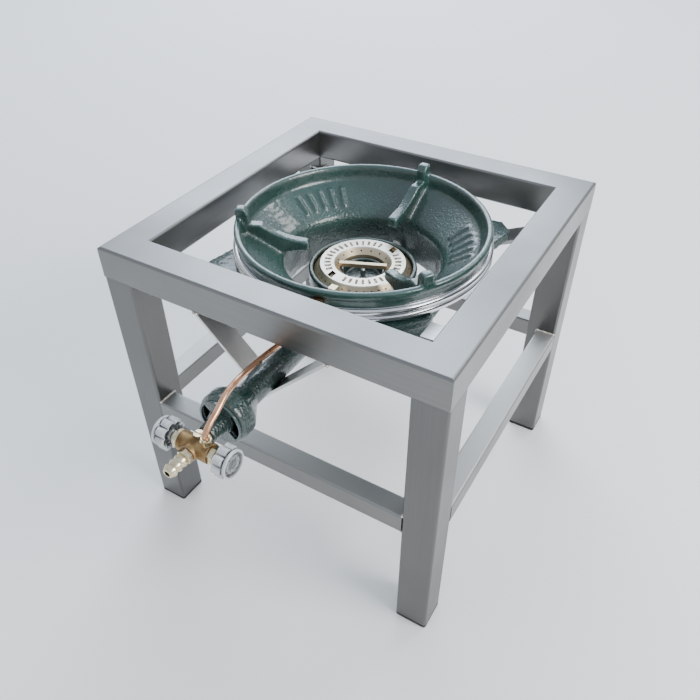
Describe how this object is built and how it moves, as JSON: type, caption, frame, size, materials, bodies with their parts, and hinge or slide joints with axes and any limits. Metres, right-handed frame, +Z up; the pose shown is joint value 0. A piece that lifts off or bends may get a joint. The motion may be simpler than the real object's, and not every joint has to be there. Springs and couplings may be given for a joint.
{
  "type": "stock pot stove",
  "caption": "Low square stainless stand of square tube with a cast-iron fire bowl, gas ring burner with lift-out cap, side bell air inlet, twin needle valve and pilot line.",
  "frame": {"origin": "middle of the bounding box's base, on the floor under the foot caps; the bowl's axis stands 69.25 mm behind it", "axes": "+Z up; +Y from the gas valve to the back; +X along the front rail, to the right seen from the valve side"},
  "size_m": [0.4, 0.5386, 0.39],
  "materials": {
    "stand_steel": "satin brushed stainless steel",
    "ring_steel": "bright rolled stainless steel",
    "green_iron": "hammered dark green paint on cast iron",
    "cap_brass": "pale cast brass, machined top",
    "valve_brass": "sand-cast brass",
    "fitting_brass": "turned brass",
    "clear_plastic": "clear moulded acrylic",
    "foot_rubber": "matte black rubber",
    "seal_rubber": "black rubber",
    "copper": "drawn copper tube",
    "zinc_steel": "zinc-plated steel"
  },
  "bodies": {
    "stove": {"rail_front": "stand_steel", "rail_back": "stand_steel", "rail_left": "stand_steel", "rail_right": "stand_steel", "leg_front_left": "stand_steel", "leg_front_right": "stand_steel", "leg_back_left": "stand_steel", "leg_back_right": "stand_steel", "brace_front": "stand_steel", "brace_back": "stand_steel", "brace_left": "stand_steel", "brace_right": "stand_steel", "foot_front_left": "foot_rubber", "foot_front_right": "foot_rubber", "foot_back_left": "foot_rubber", "foot_back_right": "foot_rubber", "arm_front_left": "stand_steel", "arm_front_right": "stand_steel", "arm_back_left": "stand_steel", "arm_back_right": "stand_steel", "side_tab": "stand_steel", "tube_sling": "stand_steel", "support_ring": "ring_steel", "fire_bowl": "green_iron", "bowl_throat": "green_iron", "ear_bolts": "zinc_steel", "burner_casting": "green_iron", "centre_stud": "zinc_steel", "rear_bracket": "zinc_steel", "bracket_bolts": "zinc_steel", "bracket_nut": "zinc_steel", "injector": "valve_brass", "valve_body": "valve_brass", "test_plug": "zinc_steel", "hose_tail": "fitting_brass", "main_bonnet": "valve_brass", "main_seal": "seal_rubber", "pilot_bonnet": "valve_brass", "pilot_seal": "seal_rubber", "pilot_nut": "fitting_brass", "pilot_tube": "copper", "union_nut": "fitting_brass", "pilot_elbow": "fitting_brass", "pilot_arm": "copper", "pilot_nozzle": "fitting_brass"},
    "main_knob": {"main_spindle": "valve_brass", "main_knob": "clear_plastic"},
    "pilot_knob": {"pilot_spindle": "valve_brass", "pilot_knob": "clear_plastic"},
    "air_shutter": {"air_shutter": "green_iron"},
    "burner_cap": {"burner_cap": "cap_brass"}
  },
  "joints": [
    {"name": "main_knob_turn", "type": "hinge", "parent": "stove", "child": "main_knob", "pos_m": [-0.03, -0.23125, 0.294], "axis": [-1, 0, 0], "range_deg": [0, 540]},
    {"name": "pilot_knob_turn", "type": "hinge", "parent": "stove", "child": "pilot_knob", "pos_m": [0.03, -0.23125, 0.294], "axis": [1, 0, 0], "range_deg": [0, 540]},
    {"name": "air_shutter_turn", "type": "hinge", "parent": "stove", "child": "air_shutter", "pos_m": [0, -0.19625, 0.294], "axis": [0, -1, 0], "range_deg": [0, 90]},
    {"name": "burner_cap_lift", "type": "slide", "parent": "stove", "child": "burner_cap", "axis": [0, 0, 1], "range_m": [0, 0.08]}
  ]
}
